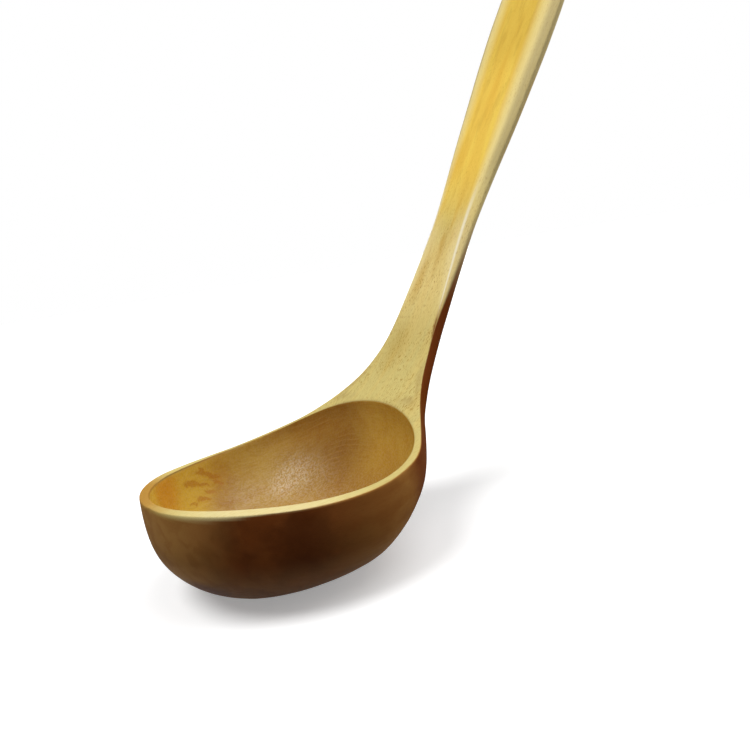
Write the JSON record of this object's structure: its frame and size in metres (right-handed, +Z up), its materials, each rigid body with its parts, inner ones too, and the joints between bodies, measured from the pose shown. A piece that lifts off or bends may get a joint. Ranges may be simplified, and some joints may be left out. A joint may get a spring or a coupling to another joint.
{
  "type": "soup ladle",
  "caption": "Carved wooden soup ladle with a deep round bowl, a flared neck and a flat handle that climbs steeply from the rim and widens towards its rounded end.",
  "frame": {"origin": "middle of the small flat sole under the bowl", "axes": "+Z up with the rim level, +X from the bowl's tip towards the handle, +Y to the left of someone looking along +X"},
  "size_m": [0.225, 0.0916, 0.2149],
  "materials": {
    "wood": "oiled and hand-smoothed, satin"
  },
  "bodies": {
    "root": {"bowl": "wood", "handle": "wood"}
  },
  "joints": []
}
